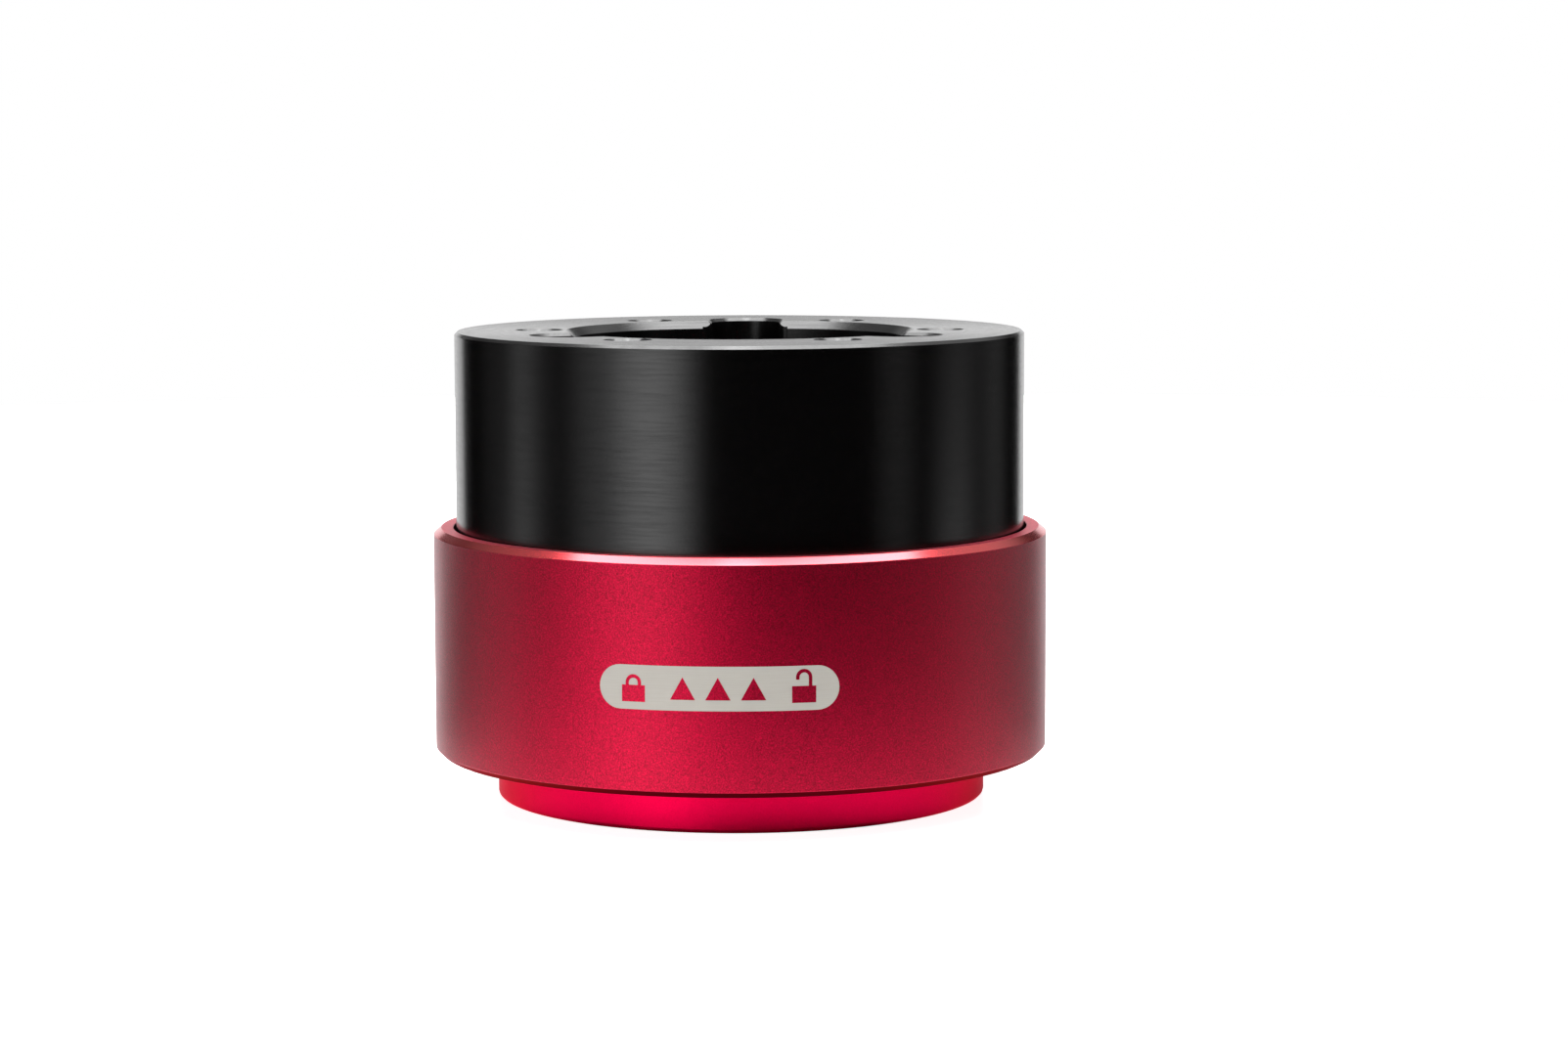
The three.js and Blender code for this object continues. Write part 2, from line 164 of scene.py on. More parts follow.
# The floor, in metres
FLOOR_R = 0.7
FLOOR_TONE = 0.9
FLOOR_DIM = 0.68  # how much darker reflections see it
FLOOR_GLOW = 0.9  # its own brightness to the camera
FLOOR_PAINTED_GLOW = 0.6  # painted light: a glow that reflections see on the floor, halfway round from the brightest side
POOL_AZIMUTH = -15  # the brightest side of the painted glow; the opposite one has no glow in reflections
POOL_CENTRE = (0, -0.015, 0)
POOL_START = (0.02, 0.03)  # distances from that centre over which the glow begins
FLOOR_END = (0.05, 0.08)  # and over which reflections stop seeing the floor

# Softboxes: azimuth and half width in degrees, and radiance
STRIPS = (
    (-31.5, 22.5, 2.5),
    (-51, 24, 0.75),
    (-80, 14, 0.13),
    (-92, 13, 0.52),
    (-107, 22, 0.09),
    (66, 14, 0.25),
    (100, 17, 0.17),
    (122, 18, 0.16),
)
LOW_BOXES = ((-96, 18, 0.75), (95, 18, 1.5))
HIGH_BOXES = ((-105, 30, 0.25), (95, 30, 0.45))

# Camera: lens in millimetres, place in metres before the turn about Z, angles in degrees
LENS = 85.3
CAMERA_PLACE = (-0.0025, -0.4704, 0.0847)
CAMERA_TURN = 2.4
CAMERA_YAW = -0.983
CAMERA_TILT = -6.201
CAMERA_ROLL = -0.163

FINE = 288  # segments round a large ring
SMALL = 32  # segments round a small hole or pin
SMOOTH_ANGLE = math.radians(32)


# ---------------------------------------------------------------------------------------------------------
# Outlines


def rounded(corners, steps=3):
    """Closed outline from (x, y, radius) corners, with arcs, and a support point on each side of an arc."""
    support = 0.06
    points = []
    count = len(corners)
    for i, (x, y, radius) in enumerate(corners):
        here = Vector((x, y))
        if radius <= 0:
            points.append(here)
            continue
        before = Vector(corners[i - 1][:2]) - here
        after = Vector(corners[(i + 1) % count][:2]) - here
        half = before.angle(after) / 2
        reach = radius / math.tan(half)
        start = here + before.normalized() * reach
        end = here + after.normalized() * reach
        centre = here + (before.normalized() + after.normalized()).normalized() * radius / math.sin(half)
        points.append(start + before.normalized() * support)
        first = start - centre
        turn = first.angle_signed(end - centre)
        points += [centre + rotated(first, -turn * k / steps) for k in range(steps + 1)]
        points.append(end + after.normalized() * support)
    return points


def rotated(vector, angle):
    return Vector(
        (
            vector.x * math.cos(angle) - vector.y * math.sin(angle),
            vector.x * math.sin(angle) + vector.y * math.cos(angle),
        )
    )


def arc(centre, radius, first, last, steps):
    """Points on an arc from the first angle to the last, in degrees."""
    angles = [math.radians(first + (last - first) * k / steps) for k in range(steps + 1)]
    return [Vector((centre[0] + radius * math.cos(a), centre[1] + radius * math.sin(a))) for a in angles]


# ---------------------------------------------------------------------------------------------------------
# Meshes


def finish_mesh(name, bm, material):
    """A smooth-shaded object from a bmesh in millimetres, with its faces turned outwards."""
    bmesh.ops.remove_doubles(bm, verts=bm.verts, dist=1e-4)
    bmesh.ops.recalc_face_normals(bm, faces=bm.faces)
    bm.transform(Matrix.Scale(MM, 4))
    mesh = bpy.data.meshes.new(name)
    bm.to_mesh(mesh)
    bm.free()
    mesh.shade_smooth()
    mesh.set_sharp_from_angle(angle=SMOOTH_ANGLE)
    obj = bpy.data.objects.new(name, mesh)
    bpy.context.scene.collection.objects.link(obj)
    for each in material if isinstance(material, (list, tuple)) else [material]:
        mesh.materials.append(each)
    return obj


def lathe(name, outline, material, segments=FINE, slot_of=None):
    """A body of revolution about Z from a closed outline of (radius, z) points."""
    bm = bmesh.new()
    rings = []
    for k in range(segments):
        turn = 2 * math.pi * k / segments
        c, s = math.cos(turn), math.sin(turn)
        rings.append([bm.verts.new((p.x * c, p.x * s, p.y)) for p in outline])
    count = len(outline)
    for k, ring in enumerate(rings):
        following = rings[(k + 1) % segments]
        for i in range(count):
            j = (i + 1) % count
            corners = [ring[i], ring[j], following[j], following[i]]
            if outline[i].x < 1e-6 and outline[j].x < 1e-6:
                continue
            face = bm.faces.new(corners)
            if slot_of:
                face.material_index = slot_of((outline[i] + outline[j]) / 2)
    bmesh.ops.remove_doubles(bm, verts=bm.verts, dist=1e-4)
    return finish_mesh(name, bm, material)


def prism(name, levels, material):
    """A closed solid lofted through (z, outline) levels whose outlines have the same number of points."""
    bm = bmesh.new()
    rings = [[bm.verts.new((p.x, p.y, z)) for p in outline] for z, outline in levels]
    for low, high in zip(rings, rings[1:]):
        for i in range(len(low)):
            j = (i + 1) % len(low)
            bm.faces.new([low[i], low[j], high[j], high[i]])
    bm.faces.new(rings[0])
    bm.faces.new(rings[-1])
    return finish_mesh(name, bm, material)


def at(obj, radius, degrees):
    """Moves an object's mesh out to a radius and turns it about Z."""
    turn = Matrix.Rotation(math.radians(degrees), 4, "Z")
    obj.data.transform(turn @ Matrix.Translation((radius * MM, 0, 0)))
    return obj


def joined(name, objects):
    """One object from several, which are removed."""
    bm = bmesh.new()
    for obj in objects:
        bm.from_mesh(obj.data)
    mesh = bpy.data.meshes.new(name)
    bm.to_mesh(mesh)
    bm.free()
    for obj in objects:
        bpy.data.objects.remove(obj)
    result = bpy.data.objects.new(name, mesh)
    bpy.context.scene.collection.objects.link(result)
    return result


def carve(obj, cutters, operation="DIFFERENCE"):
    """Cuts the cutters out of the object for good, and removes them."""
    cutter = joined("cutter", cutters)
    modifier = obj.modifiers.new("carve", "BOOLEAN")
    modifier.operation = operation
    modifier.solver = "EXACT"
    modifier.use_self = True
    modifier.object = cutter
    bpy.context.view_layer.update()
    evaluated = obj.evaluated_get(bpy.context.evaluated_depsgraph_get())
    mesh = bpy.data.meshes.new_from_object(evaluated)
    obj.modifiers.clear()
    obj.data = mesh
    bpy.data.objects.remove(cutter)
    mesh.shade_smooth()
    mesh.set_sharp_from_angle(angle=SMOOTH_ANGLE)
    return obj


# ---------------------------------------------------------------------------------------------------------
# Materials


def new_material(name):
    material = bpy.data.materials.new(name)
    material.use_nodes = True
    nodes = material.node_tree.nodes
    return material, nodes, material.node_tree.links, nodes["Principled BSDF"]


def math_node(nodes, links, operation, first, second=None):
    node = nodes.new("ShaderNodeMath")
    node.operation = operation
    for socket, value in zip(node.inputs, (first, second)):
        if value is None:
            continue
        if isinstance(value, (int, float)):
            socket.default_value = value
        else:
            links.new(value, socket)
    return node.outputs[0]


def mapped(nodes, links, value, low, high):
    """A value from 0..1 spread over low..high."""
    node = nodes.new("ShaderNodeMapRange")
    node.inputs["To Min"].default_value = low
    node.inputs["To Max"].default_value = high
    links.new(value, node.inputs["Value"])
    return node.outputs["Result"]


def noise(nodes, links, vector, scale, detail=2.0, rough=0.5):
    node = nodes.new("ShaderNodeTexNoise")
    node.inputs["Scale"].default_value = scale
    node.inputs["Detail"].default_value = detail
    node.inputs["Roughness"].default_value = rough
    links.new(vector, node.inputs["Vector"])
    return node.outputs["Fac"]


def object_point(nodes):
    return nodes.new("ShaderNodeTexCoord").outputs["Object"]


def lathe_vector(nodes, links, line_spacing, drift):
    """Coordinates that change fast across the lathe's lines, and slowly along them."""
    split = nodes.new("ShaderNodeSeparateXYZ")
    links.new(object_point(nodes), split.inputs[0])
    x, y, z = split.outputs
    squares = math_node(nodes, links, "ADD", math_node(nodes, links, "POWER", x, 2.0),
                        math_node(nodes, links, "POWER", y, 2.0))
    radius = math_node(nodes, links, "SQRT", squares)
    across = math_node(nodes, links, "MULTIPLY", math_node(nodes, links, "ADD", radius, z), 1 / line_spacing)
    join = nodes.new("ShaderNodeCombineXYZ")
    links.new(math_node(nodes, links, "MULTIPLY", x, 1 / drift), join.inputs[0])
    links.new(math_node(nodes, links, "MULTIPLY", y, 1 / drift), join.inputs[1])
    links.new(across, join.inputs[2])
    return join.outputs[0]


def bump(nodes, links, height, strength, distance, normal=None):
    node = nodes.new("ShaderNodeBump")
    node.inputs["Strength"].default_value = strength
    node.inputs["Distance"].default_value = distance
    links.new(height, node.inputs["Height"])
    if normal is not None:
        links.new(normal, node.inputs["Normal"])
    return node.outputs["Normal"]


def tinted(nodes, links, value, dark, light):
    """A colour between two, by a value."""
    node = nodes.new("ShaderNodeMix")
    node.data_type = "RGBA"
    node.inputs["A"].default_value = (*dark, 1)
    node.inputs["B"].default_value = (*light, 1)
    links.new(value, node.inputs["Factor"])
    return node.outputs["Result"]


def around_axis(nodes, links, shader, amount):
    """Stretches a shader's highlights across the lathe's lines, so that they stay narrow along them."""
    tangent = nodes.new("ShaderNodeTangent")
    tangent.direction_type = "RADIAL"
    tangent.axis = "Z"
    links.new(tangent.outputs[0], shader.inputs["Tangent"])
    shader.inputs["Anisotropic"].default_value = amount
    shader.inputs["Anisotropic Rotation"].default_value = 0.25


def turned_metal(name, dark, light, metallic, rough, lines=0.00018, line_depth=0.0000012, stretch=0.6,
                 coat=0.0, coat_ior=1.5, tint=(1, 1, 1)):
    """Metal or dyed oxide with fine lathe lines."""
    material, nodes, links, shader = new_material(name)
    vector = lathe_vector(nodes, links, lines, 0.02)
    streaks = noise(nodes, links, vector, 1.0, 3.0, 0.6)
    links.new(tinted(nodes, links, streaks, dark, light), shader.inputs["Base Color"])
    links.new(mapped(nodes, links, streaks, *rough), shader.inputs["Roughness"])
    links.new(bump(nodes, links, streaks, 1.0, line_depth), shader.inputs["Normal"])
    shader.inputs["Metallic"].default_value = metallic
    shader.inputs["Specular Tint"].default_value = (*tint, 1)
    shader.inputs["Coat Weight"].default_value = coat
    shader.inputs["Coat Roughness"].default_value = 0.15
    shader.inputs["Coat IOR"].default_value = coat_ior
    around_axis(nodes, links, shader, stretch)
    return material


def black_oxide(name):
    """Dyed anodic film over fine lathe lines. The film is so dark that only its gloss shows."""
    material, nodes, links, shader = new_material(name)
    streaks = noise(nodes, links, lathe_vector(nodes, links, 0.00035, 0.006), 1.0, 4.0, 0.7)
    grain = noise(nodes, links, object_point(nodes), 4200, 2.0, 0.6)
    specks = mapped(nodes, links, grain, -1.5, 2.5)
    colour = tinted(nodes, links, specks, (0, 0, 0), (0.0012, 0.0008, 0.001))
    links.new(colour, shader.inputs["Base Color"])
    links.new(mapped(nodes, links, streaks, -0.4, 0.5), shader.inputs["Metallic"])
    links.new(mapped(nodes, links, streaks, 0.16, 0.28), shader.inputs["Roughness"])
    lined = bump(nodes, links, streaks, 1.0, 0.000002)
    links.new(bump(nodes, links, grain, 1.0, 0.000005, lined), shader.inputs["Normal"])
    shader.inputs["IOR"].default_value = 1.5
    around_axis(nodes, links, shader, 0.6)
    return material


def blasted_metal(name, dark, light, metallic, rough, coat, pit_depth, sheen=0.0, tint=(1, 1, 1)):
    """Bead-blasted and dyed aluminium: bright and dark grains, fine pits and a clear oxide over them."""
    material, nodes, links, shader = new_material(name)
    point = object_point(nodes)
    grains = mapped(nodes, links, noise(nodes, links, point, 5200, 2.0, 0.7), -0.2, 1.2)
    peel = noise(nodes, links, point, 900, 2.0, 0.5)
    links.new(tinted(nodes, links, grains, dark, light), shader.inputs["Base Color"])
    links.new(mapped(nodes, links, peel, *rough), shader.inputs["Roughness"])
    broad = bump(nodes, links, peel, 0.6, 0.00002)
    links.new(bump(nodes, links, grains, 1.0, pit_depth, broad), shader.inputs["Normal"])
    shader.inputs["Metallic"].default_value = metallic
    shader.inputs["Specular IOR Level"].default_value = 0.05
    shader.inputs["Coat Weight"].default_value = coat
    shader.inputs["Specular Tint"].default_value = (*tint, 1)
    shader.inputs["Sheen Weight"].default_value = sheen
    shader.inputs["Sheen Roughness"].default_value = 0.4
    shader.inputs["Coat Roughness"].default_value = 0.38
    shader.inputs["Coat IOR"].default_value = 1.2
    return material


def plain_rubber(name):
    material, nodes, links, shader = new_material(name)
    grain = noise(nodes, links, object_point(nodes), 3000, 4.0)
    colour = tinted(nodes, links, grain, (0.008, 0.008, 0.008), (0.02, 0.02, 0.02))
    links.new(colour, shader.inputs["Base Color"])
    links.new(mapped(nodes, links, grain, 0.5, 0.75), shader.inputs["Roughness"])
    links.new(bump(nodes, links, grain, 0.4, 0.00001), shader.inputs["Normal"])
    return material


def etched_metal(name):
    """Laser-etched aluminium: pale, matt, with fine scan lines."""
    material, nodes, links, shader = new_material(name)
    vector = lathe_vector(nodes, links, 0.00009, 0.004)
    scan = noise(nodes, links, vector, 1.0, 2.0)
    colour = tinted(nodes, links, scan, (0.33, 0.315, 0.285), (0.41, 0.39, 0.355))
    links.new(colour, shader.inputs["Base Color"])
    links.new(mapped(nodes, links, scan, 0.55, 0.75), shader.inputs["Roughness"])
    links.new(bump(nodes, links, scan, 0.3, 0.000004), shader.inputs["Normal"])
    shader.inputs["Metallic"].default_value = 0.35
    return material


RED_TINT = (1, 0.3, 0.35)

BLACK = black_oxide("black_anodised")
RED = blasted_metal(
    "blasted_red",
    (0.06, 0.0001, 0.004),
    (0.9, 0.001, 0.06),
    metallic=0.98,
    rough=(0.42, 0.48),
    coat=1.0,
    pit_depth=0.00003,
    sheen=0.12,
)
RED_EDGE = turned_metal(
    "polished_red",
    (0.48, 0.001, 0.012),
    (0.56, 0.002, 0.016),
    metallic=0.96,
    rough=(0.16, 0.24),
    stretch=0.3,
    coat=0.8,
    coat_ior=1.7,
    tint=RED_TINT,
)
# Turned faces under and inside the collar. The uncoated turned finish is real; the dark base colour is
# painted shade for where they lie under the collar.
RED_CUT_PAINTED_SHADE = turned_metal(
    "turned_red_painted_shade",
    (0.08, 0.001, 0.006),
    (0.12, 0.002, 0.008),
    metallic=0.95,
    rough=(0.3, 0.42),
    stretch=0.3,
    tint=RED_TINT,
)
RED_FOOT = blasted_metal(
    "satin_red",
    (0.8, 0.0003, 0.05),
    (1.0, 0.0006, 0.075),
    metallic=0.7,
    rough=(0.38, 0.46),
    coat=0.05,
    pit_depth=0.00001,
    tint=RED_TINT,
)
STEEL = turned_metal(
    "ground_steel",
    (0.42, 0.42, 0.43),
    (0.58, 0.58, 0.59),
    metallic=1.0,
    rough=(0.2, 0.36),
    stretch=0.4,
)
BALL_STEEL = turned_metal(
    "ball_steel",
    (0.6, 0.6, 0.61),
    (0.68, 0.68, 0.69),
    metallic=1.0,
    rough=(0.05, 0.09),
    line_depth=0.0000002,
    stretch=0.0,
)
BLACK_STEEL = turned_metal(
    "black_oxide",
    (0.02, 0.02, 0.022),
    (0.05, 0.05, 0.052),
    metallic=0.8,
    rough=(0.3, 0.5),
    stretch=0.0,
)
WIRE = turned_metal(
    "spring_wire",
    (0.28, 0.28, 0.29),
    (0.42, 0.42, 0.43),
    metallic=1.0,
    rough=(0.22, 0.36),
    stretch=0.0,
)
RUBBER = plain_rubber("rubber")
ETCHED = etched_metal("etched")


# ---------------------------------------------------------------------------------------------------------
# Cutters


def plug(corners, segments=SMALL):
    """A turned cutter."""
    return lathe("plug", [Vector(corner) for corner in corners], BLACK, segments)


def bars(radius, bottom, top, circle_r, angles):
    """Round cutters that stand on a circle."""
    corners = [(0, bottom), (radius, bottom), (radius, top), (0, top)]
    return [at(plug(corners), circle_r, angle) for angle in angles]


def hex_bar(across_flats, bottom, top):
    """Hexagonal cutter for a key socket."""
    corner_r = across_flats / math.sqrt(3)
    outline = arc((0, 0), corner_r, 0, 300, 5)
    return prism("hex", [(bottom, outline), (top, outline)], BLACK)


def copies(make, radius, angles):
    return [at(make(), radius, angle) for angle in angles]


def thread(radius, depth, pitch, bottom, top):
    """Profile points of thread rings on a wall, between two heights; depth is negative for a screw."""
    points = []
    for k in range(int((top - bottom) / pitch)):
        z = bottom + k * pitch
        for share, out in ((0.1, 0), (0.45, depth), (0.55, depth), (0.9, 0)):
            points.append(Vector((radius + out, z + share * pitch)))
    return points


# ---------------------------------------------------------------------------------------------------------
# Black body


def pocket_outline(offset):
    """The pocket from above: round end outwards, parallel sides, mouth corners that flare into the bore."""
    inside = 2.0
    wall_x = math.sqrt(BORE_R**2 - POCKET_R**2)
    turn_x = wall_x + MOUTH_FILLET
    flare_y = POCKET_R + MOUTH_FILLET
    fillet = MOUTH_FILLET - offset
    left = arc((turn_x, flare_y), fillet, 270, 180, 6)
    right = arc((turn_x, -flare_y), fillet, 180, 90, 6)
    back = [Vector((wall_x - inside, flare_y)), Vector((wall_x - inside, -flare_y))]
    return arc((POCKET_CENTRE_R, 0), POCKET_R + offset, -90, 90, 24) + left + back + right


def pocket_cutter():
    over = 0.3
    levels = [
        (POCKET_FLOOR, pocket_outline(0)),
        (BODY_TOP - POCKET_EDGE, pocket_outline(0)),
        (BODY_TOP, pocket_outline(POCKET_EDGE)),
        (BODY_TOP + over, pocket_outline(POCKET_EDGE + over)),
    ]
    return prism("pocket", levels, BLACK)


def bolt_hole_cutter():
    """Threaded hole with a drill point below it and a countersink above."""
    point_h = 1.2
    over = 0.5
    bottom = BODY_TOP - BOLT_DEPTH
    sink_bottom = BODY_TOP - (SINK_R - BOLT_R)
    outline = [(0, bottom), (BOLT_R, bottom + point_h)]
    outline += thread(BOLT_R, 0.35, 0.8, bottom + point_h + 0.4, sink_bottom)
    outline += [(BOLT_R, sink_bottom), (SINK_R + over, BODY_TOP + over), (0, BODY_TOP + over)]
    return plug(outline, 40)


def wheel_body():
    break_edge = 0.08
    spigot_bore_r = SPIGOT_R + GAP
    spigot_bore_top = SLEEVE_TOP + GAP
    outline = rounded(
        [
            (spigot_bore_r, BODY_BOTTOM, 0),
            (BODY_R - EDGE, BODY_BOTTOM, break_edge),
            (BODY_R, BODY_BOTTOM + EDGE, break_edge),
            (BODY_R, BODY_TOP - EDGE, break_edge),
            (BODY_R - EDGE, BODY_TOP, break_edge),
            (BORE_R + BORE_EDGE, BODY_TOP, break_edge),
            (BORE_R, BODY_TOP - BORE_EDGE, break_edge),
            (BORE_R, spigot_bore_top, 0),
            (spigot_bore_r, spigot_bore_top, 0),
        ]
    )
    body = lathe("wheel_body_shell", outline, BLACK)
    pockets = copies(pocket_cutter, 0, SCREW_ANGLES)
    carve(body, pockets + copies(bolt_hole_cutter, BOLT_CIRCLE_R, BOLT_ANGLES))
    holes = bars(SCREW_HOLE_R, spigot_bore_top - 1, POCKET_FLOOR + 1, SCREW_CIRCLE_R, SCREW_ANGLES)
    holes += bars(SPRING_HOLE_R, BODY_BOTTOM - 1, SPRING_TOP + GAP, SPRING_CIRCLE_R, PIN_ANGLES)
    holes += bars(GUIDE_R + PIN_GAP, BODY_BOTTOM - 1, GUIDE_TOP + GAP, GUIDE_CIRCLE_R, SCREW_ANGLES)
    holes += bars(TORQUE_R + PIN_GAP, spigot_bore_top - 1, TORQUE_TOP + GAP, TORQUE_CIRCLE_R, PIN_ANGLES)
    return carve(body, holes)


# ---------------------------------------------------------------------------------------------------------
# Collar


def collar_finish(middle):
    """Material number of a stretch of the collar's outline: 0 blasted, 1 polished, 2 turned with painted
    shade.
    """
    if middle.y > COLLAR_TOP - COLLAR_EDGE_DOWN and middle.x > COLLAR_R - COLLAR_EDGE_IN:
        return 1
    return 0 if middle.x > COLLAR_R - 0.05 or middle.y > COLLAR_TOP - 0.05 else 2


def lock_collar():
    """Collar with an inner ramp that lets the balls out as it rises, and a relief below the ramp."""
    slope = BALL_TRAVEL / COLLAR_TRAVEL
    ramp_at_ball = BALL_CENTRE_R + (BALL_R + BALL_GAP) * math.hypot(1, slope)
    ramp_top = BALL_Z + (ramp_at_ball - COLLAR_LAND_R) / slope
    relief_r = ramp_at_ball + (BALL_Z - RAMP_BOTTOM) * slope
    outline = rounded(
        [
            (COLLAR_LAND_R, COLLAR_BOTTOM, 0.2),
            (COLLAR_R - COLLAR_FOOT_EDGE, COLLAR_BOTTOM, 0.12),
            (COLLAR_R, COLLAR_BOTTOM + COLLAR_FOOT_EDGE, 0.12),
            (COLLAR_R, COLLAR_TOP - COLLAR_EDGE_DOWN, 0.12),
            (COLLAR_R - COLLAR_EDGE_IN, COLLAR_TOP, 0.08),
            (COLLAR_BORE_R, COLLAR_TOP, 0.12),
            (COLLAR_BORE_R, COLLAR_FLOOR, 0.3),
            (COLLAR_LAND_R, COLLAR_FLOOR, 0.2),
            (COLLAR_LAND_R, ramp_top, 0),
            (relief_r, RAMP_BOTTOM, 0),
            (relief_r, LIP_TOP, 0.3),
            (COLLAR_LAND_R, LIP_TOP, 0.2),
        ]
    )

    collar = lathe("lock_collar_shell", outline, [RED, RED_EDGE, RED_CUT_PAINTED_SHADE], slot_of=collar_finish)
    hole_bottom = GUIDE_BOTTOM - COLLAR_TRAVEL - GAP
    holes = bars(GUIDE_R + PIN_GAP, hole_bottom, COLLAR_FLOOR + 1, GUIDE_CIRCLE_R, SCREW_ANGLES)
    return carve(collar, holes)


def etched_mark():
    """Pill-shaped panel with a closed padlock, three arrowheads and an open padlock left in the red."""
    panel = arc((MARK_W / 2 - MARK_H / 2, 0), MARK_H / 2, -90, 90, 16)
    panel += arc((MARK_H / 2 - MARK_W / 2, 0), MARK_H / 2, 90, 270, 16)
    shapes = [panel]
    for x, lift in ((-PADLOCK_X, 0), (PADLOCK_X, PADLOCK_LIFT)):
        shapes += padlock(x, lift)
    for x in (-ARROW_STEP, 0, ARROW_STEP):
        corners = ((x - ARROW_HALF_W, -ARROW_HALF_H), (x + ARROW_HALF_W, -ARROW_HALF_H), (x, ARROW_HALF_H))
        shapes.append([Vector(corner) for corner in corners])
    return wrapped("collar_mark", shapes, ETCHED)


def padlock(x, lift):
    """Outlines of a padlock: closed where lift is 0, and otherwise with its shackle raised off one side."""
    half_w, bottom, top = 1.45, -1.75, 0.25
    outer_r, inner_r = 0.98, 0.55
    spring_z = 0.55 + lift
    body = [Vector((x - half_w, bottom)), Vector((x + half_w, bottom)), Vector((x + half_w, top))]
    outer = arc((x, spring_z), outer_r, 0, 180, 14)
    inner = arc((x, spring_z), inner_r, 180, 0, 10)
    if lift == 0:
        body += [Vector((x + outer_r, top)), *outer, Vector((x - outer_r, top)), Vector((x - half_w, top))]
        return [body, [*inner, Vector((x + inner_r, top)), Vector((x - inner_r, top))]]
    free_end = top + lift
    body += [Vector((x + outer_r, top)), *outer, Vector((x - outer_r, free_end))]
    body += [Vector((x - inner_r, free_end)), *inner, Vector((x + inner_r, top)), Vector((x - half_w, top))]
    return [body]


def holds(shape, point):
    """Whether a flat outline holds a point."""
    crossings = 0
    for a, b in zip(shape, shape[1:] + shape[:1]):
        if (a.y > point.y) != (b.y > point.y):
            crossings += point.x < a.x + (b.x - a.x) * (point.y - a.y) / (b.y - a.y)
    return crossings % 2 == 1


def wrapped(name, shapes, material):
    """A thin plate, filled where an odd number of flat outlines overlap, bent round the collar."""
    columns = 34
    half_thickness = 0.03
    points = [point for shape in shapes for point in shape]
    faces = []
    for shape in shapes:
        first = sum(len(face) for face in faces)
        faces.append(list(range(first, first + len(shape))))
    edges = []
    for k in range(1, columns):
        x = MARK_W * (k / columns - 0.5)
        edges.append((len(points), len(points) + 1))
        points += [Vector((x, -MARK_H)), Vector((x, MARK_H))]
    flat, _, triangles, *_ = delaunay_2d_cdt(points, edges, faces, 0, 1e-5)
    kept = []
    for face in triangles:
        middle = sum((flat[i] for i in face), Vector((0, 0))) / 3
        if sum(holds(shape, middle) for shape in shapes) % 2:
            kept.append(face)
    bm = bmesh.new()
    sheets = []
    for radius in (COLLAR_R - half_thickness, COLLAR_R + half_thickness):
        sheet = {}
        for i in sorted({i for face in kept for i in face}):
            turn = math.radians(MARK_ANGLE) + flat[i].x / COLLAR_R
            z = MARK_Z + flat[i].y
            sheet[i] = bm.verts.new((radius * math.cos(turn), radius * math.sin(turn), z))
        sheets.append(sheet)
    inner, outer = sheets
    sides = {}
    for face in kept:
        bm.faces.new([outer[i] for i in face])
        bm.faces.new([inner[i] for i in reversed(face)])
        for i, j in zip(face, face[1:] + face[:1]):
            sides[(i, j)] = True
    for i, j in sides:
        if (j, i) not in sides:
            bm.faces.new([outer[j], outer[i], inner[i], inner[j]])
    return finish_mesh(name, bm, material)


# ---------------------------------------------------------------------------------------------------------
# Sleeve, foot and spline


def ball_hole_cutter():
    """Radial hole: running size outside, and a narrower seat at the socket's wall."""
    hole_r = BALL_R + BALL_GAP
    corners = [(0, BORE_R - 1), (BALL_SEAT_HOLE_R, BORE_R - 1), (BALL_SEAT_HOLE_R, BALL_SEAT_R)]
    corners += [(hole_r, BALL_SEAT_R), (hole_r, SLEEVE_R + 1), (0, SLEEVE_R + 1)]
    hole = plug(corners, 48)
    lay_down = Matrix.Rotation(math.pi / 2, 4, "Y")
    hole.data.transform(Matrix.Translation((0, 0, BALL_Z * MM)) @ lay_down)
    return hole


def inner_sleeve():
    flange_seat_r, flange_seat_z = SPLINE_R + GAP, FLANGE_TOP + GAP
    hub_seat_r, hub_seat_z = SPLINE_HUB_R + GAP, SPLINE_TOP + GAP
    outline = rounded(
        [
            (flange_seat_r, FOOT_BOTTOM, 0.15),
            (FOOT_R, FOOT_BOTTOM, 0.5),
            (FOOT_R, FOOT_TOP, 0.25),
            (SLEEVE_R, FOOT_TOP, 0),
            (SLEEVE_R, SHOULDER_Z, 0.2),
            (SPIGOT_R, SHOULDER_Z, 0),
            (SPIGOT_R, SLEEVE_TOP, 0.3),
            (BORE_R, SLEEVE_TOP, 0.3),
            (BORE_R, O_RING_Z + GROOVE_HALF_H, 0.1),
            (GROOVE_R, O_RING_Z + GROOVE_HALF_H, 0),
            (GROOVE_R, O_RING_Z - GROOVE_HALF_H, 0),
            (BORE_R, O_RING_Z - GROOVE_HALF_H, 0.1),
            (BORE_R, hub_seat_z, 0.3),
            (hub_seat_r, hub_seat_z, 0),
            (hub_seat_r, flange_seat_z, 0.15),
            (flange_seat_r, flange_seat_z, 0),
        ]
    )
    sleeve = lathe("inner_sleeve_shell", outline, RED_FOOT)
    carve(sleeve, copies(ball_hole_cutter, 0, BALL_ANGLES))
    top = SLEEVE_TOP + 1
    holes = bars(SCREW_R + PIN_GAP, SCREW_TIP - GAP, top, SCREW_CIRCLE_R, SCREW_ANGLES)
    holes += bars(TORQUE_R + PIN_GAP, TORQUE_BOTTOM - GAP, top, TORQUE_CIRCLE_R, PIN_ANGLES)
    spline_hole_r, spline_hole_top = SPLINE_SCREW_R + PIN_GAP, SPLINE_SCREW_TOP + GAP
    holes += bars(spline_hole_r, flange_seat_z - 1, spline_hole_top, SPLINE_SCREW_CIRCLE_R, BOLT_ANGLES)
    return carve(sleeve, holes)


